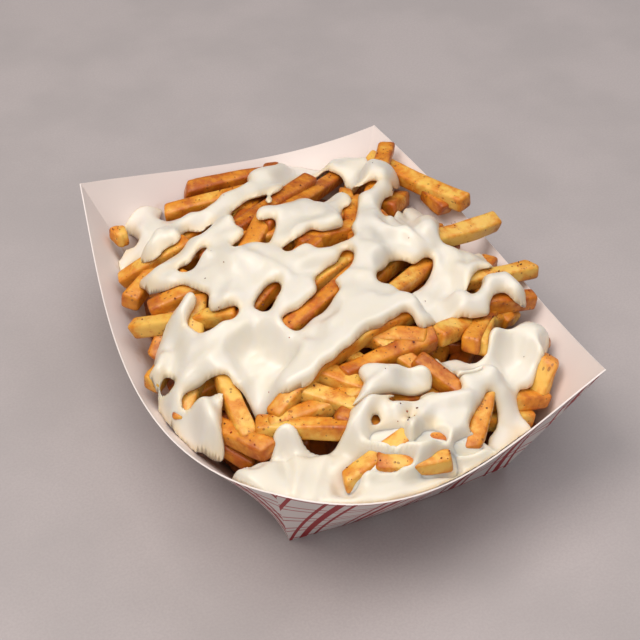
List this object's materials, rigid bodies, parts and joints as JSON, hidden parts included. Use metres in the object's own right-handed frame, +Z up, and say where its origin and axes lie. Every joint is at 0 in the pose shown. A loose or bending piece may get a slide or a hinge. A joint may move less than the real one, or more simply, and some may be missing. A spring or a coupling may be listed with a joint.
{
  "type": "fries with white sauce in a paper boat",
  "caption": "Heap of seasoned straight-cut fries under a thick white sauce, served in a folded paper boat with flared walls.",
  "frame": {"origin": "middle of the boat's flat bottom", "axes": "+Z up, +Y along the boat away from its near end"},
  "size_m": [0.1579, 0.2036, 0.0659],
  "materials": {
    "paper_board": "coated board, printed outside with a red plaid",
    "fried_potato": "fried, lightly oily, dusted with seasoning",
    "white_sauce": "thick, smooth and glossy"
  },
  "bodies": {
    "root": {"boat": "paper_board", "fries": "fried_potato", "sauce": "white_sauce"}
  },
  "joints": []
}
